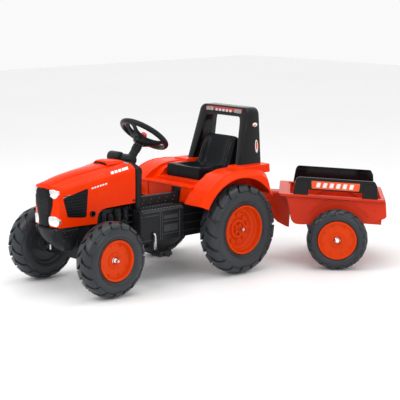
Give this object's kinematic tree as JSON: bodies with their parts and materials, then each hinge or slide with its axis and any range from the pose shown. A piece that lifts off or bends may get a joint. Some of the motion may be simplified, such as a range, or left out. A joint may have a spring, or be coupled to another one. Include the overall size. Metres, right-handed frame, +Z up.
{
  "type": "pedal tractor with trailer",
  "caption": "Child's ride-on pedal tractor with steering, opening bonnet, sliding seat and roll bar, towing a two-wheel trailer turned at its hitch.",
  "frame": {"origin": "middle of the footprint of tractor and turned trailer, on the ground", "axes": "+Z up, -Y the way the tractor drives, +X to the driver's left"},
  "size_m": [0.8508, 1.4774, 0.623],
  "materials": {
    "black_plastic": "satin moulded black, fine grain",
    "gloss_black": "gloss black",
    "orange_plastic": "gloss orange-red moulding",
    "trailer_red": "gloss red-orange moulding",
    "tyre_plastic": "blow-moulded black plastic, slight sheen",
    "zinc_steel": "zinc-plated",
    "bright_metal": "bright plated",
    "black_paint": "black paint",
    "dark_bush": "plain dark nylon",
    "lamp_clear": "bright faceted lamp",
    "horn_red": "gloss red",
    "label_red": "dark red label with grey ends"
  },
  "bodies": {
    "chassis": {"main_body": "black_plastic", "engine_block": "black_plastic", "front_bumper": "black_plastic", "dash_cowl": "black_plastic", "column_sleeve": "black_plastic", "front_axle_beam": "black_paint", "kingpins": "zinc_steel", "fender_unit": "orange_plastic", "roll_bar": "gloss_black", "roll_bar_plate": "label_red", "axle_bushes": "dark_bush", "crank_bushes": "dark_bush", "drive_chain": "zinc_steel", "body_screws": "zinc_steel", "hitch_bracket": "black_plastic", "hitch_pin": "zinc_steel", "hood_hinge_pins": "zinc_steel"},
    "hood": {"hood_top": "orange_plastic", "hood_nose": "orange_plastic", "hood_flanks": "orange_plastic", "grille": "black_plastic", "headlamps": "lamp_clear", "side_grilles": "black_plastic", "loader_bushes": "dark_bush"},
    "steering": {"steering_wheel": "black_plastic", "steering_column": "zinc_steel", "horn_spring": "zinc_steel"},
    "horn": {"horn_button": "horn_red"},
    "left_knuckle": {"knuckle_left": "zinc_steel", "front_cap_nut_left": "bright_metal"},
    "right_knuckle": {"knuckle_right": "zinc_steel", "front_cap_nut_right": "bright_metal"},
    "track_rod": {"tie_rod": "zinc_steel"},
    "front_wheel_left": {"front_tyre_left": "tyre_plastic", "front_rim_left": "orange_plastic"},
    "front_wheel_right": {"front_tyre_right": "tyre_plastic", "front_rim_right": "orange_plastic"},
    "drive_axle": {"rear_axle": "zinc_steel", "rear_sprocket": "zinc_steel", "rear_axle_caps": "orange_plastic", "rear_tyre_left": "tyre_plastic", "rear_rim_left": "orange_plastic"},
    "rear_wheel_right": {"rear_tyre_right": "tyre_plastic", "rear_rim_right": "orange_plastic"},
    "crank": {"crank_rod": "zinc_steel", "crank_sprocket": "zinc_steel", "pedal_caps": "dark_bush"},
    "left_pedal": {"pedal_left": "black_plastic"},
    "right_pedal": {"pedal_right": "black_plastic"},
    "seat_unit": {"seat": "black_plastic", "seat_bolts": "zinc_steel"},
    "trailer": {"trailer_tub": "trailer_red", "side_board_left": "gloss_black", "side_board_right": "gloss_black", "trailer_axle": "zinc_steel", "trailer_axle_caps": "bright_metal"},
    "trailer_wheel_left": {"trailer_tyre_left": "tyre_plastic", "trailer_rim_left": "orange_plastic"},
    "trailer_wheel_right": {"trailer_tyre_right": "tyre_plastic", "trailer_rim_right": "orange_plastic"}
  },
  "joints": [
    {"name": "steer_left", "type": "hinge", "parent": "chassis", "child": "left_knuckle", "pos_m": [0.00512, -0.59567, 0.139], "axis": [0, 0, 1], "range_deg": [-20, 20]},
    {"name": "steer_right", "type": "hinge", "parent": "chassis", "child": "right_knuckle", "pos_m": [-0.29088, -0.59567, 0.139], "axis": [0, 0, 1], "range_deg": [-20, 20]},
    {"name": "steering_turn", "type": "hinge", "parent": "chassis", "child": "steering", "pos_m": [-0.14288, -0.25967, 0.543], "axis": [0, 0.611, 0.7916], "range_deg": [-30, 30]},
    {"name": "tie_rod_slide", "type": "slide", "parent": "chassis", "child": "track_rod", "axis": [-1, 0, 0], "range_m": [-0.0156, 0.0156]},
    {"name": "horn_press", "type": "slide", "parent": "steering", "child": "horn", "axis": [0, -0.611, -0.7916], "range_m": [0, 0.003], "stiffness_N_per_m": 600, "deforming": ["horn_spring"]},
    {"name": "front_left_spin", "type": "hinge", "parent": "left_knuckle", "child": "front_wheel_left", "pos_m": [0.06812, -0.59567, 0.139], "axis": [1, 0, 0], "continuous": true},
    {"name": "front_right_spin", "type": "hinge", "parent": "right_knuckle", "child": "front_wheel_right", "pos_m": [-0.35388, -0.59567, 0.139], "axis": [1, 0, 0], "continuous": true},
    {"name": "drive_spin", "type": "hinge", "parent": "chassis", "child": "drive_axle", "pos_m": [-0.14288, 0.00933, 0.175], "axis": [1, 0, 0], "continuous": true},
    {"name": "rear_right_spin", "type": "hinge", "parent": "drive_axle", "child": "rear_wheel_right", "pos_m": [-0.37988, 0.00933, 0.175], "axis": [1, 0, 0], "continuous": true},
    {"name": "crank_spin", "type": "hinge", "parent": "chassis", "child": "crank", "pos_m": [-0.14288, -0.33767, 0.188], "axis": [1, 0, 0], "continuous": true},
    {"name": "pedal_left_spin", "type": "hinge", "parent": "crank", "child": "left_pedal", "pos_m": [0.04912, -0.33767, 0.122], "axis": [1, 0, 0], "continuous": true},
    {"name": "pedal_right_spin", "type": "hinge", "parent": "crank", "child": "right_pedal", "pos_m": [-0.33488, -0.33767, 0.254], "axis": [1, 0, 0], "continuous": true},
    {"name": "hood_open", "type": "hinge", "parent": "chassis", "child": "hood", "pos_m": [-0.14288, -0.40167, 0.452], "axis": [-1, 0, 0], "range_deg": [0, 45]},
    {"name": "seat_slide", "type": "slide", "parent": "chassis", "child": "seat_unit", "axis": [0, 1, 0], "range_m": [-0.03, 0.03]},
    {"name": "hitch_yaw", "type": "hinge", "parent": "chassis", "child": "trailer", "pos_m": [-0.14288, 0.18933, 0.246], "axis": [0, 0, 1], "range_deg": [-3, 96]},
    {"name": "trailer_left_spin", "type": "hinge", "parent": "trailer", "child": "trailer_wheel_left", "pos_m": [0.31411, 0.33903, 0.12], "axis": [0.6867, -0.7269, 0], "continuous": true},
    {"name": "trailer_right_spin", "type": "hinge", "parent": "trailer", "child": "trailer_wheel_right", "pos_m": [0.03256, 0.63707, 0.12], "axis": [0.6867, -0.7269, 0], "continuous": true}
  ],
  "couplings": [
    {"joint": "steer_right", "follows": "steer_left", "ratio": 1},
    {"joint": "steering_turn", "follows": "steer_left", "ratio": 1.5},
    {"joint": "tie_rod_slide", "follows": "steer_left", "m_per_rad": 0.04409},
    {"joint": "crank_spin", "follows": "drive_spin", "ratio": 0.66667}
  ]
}
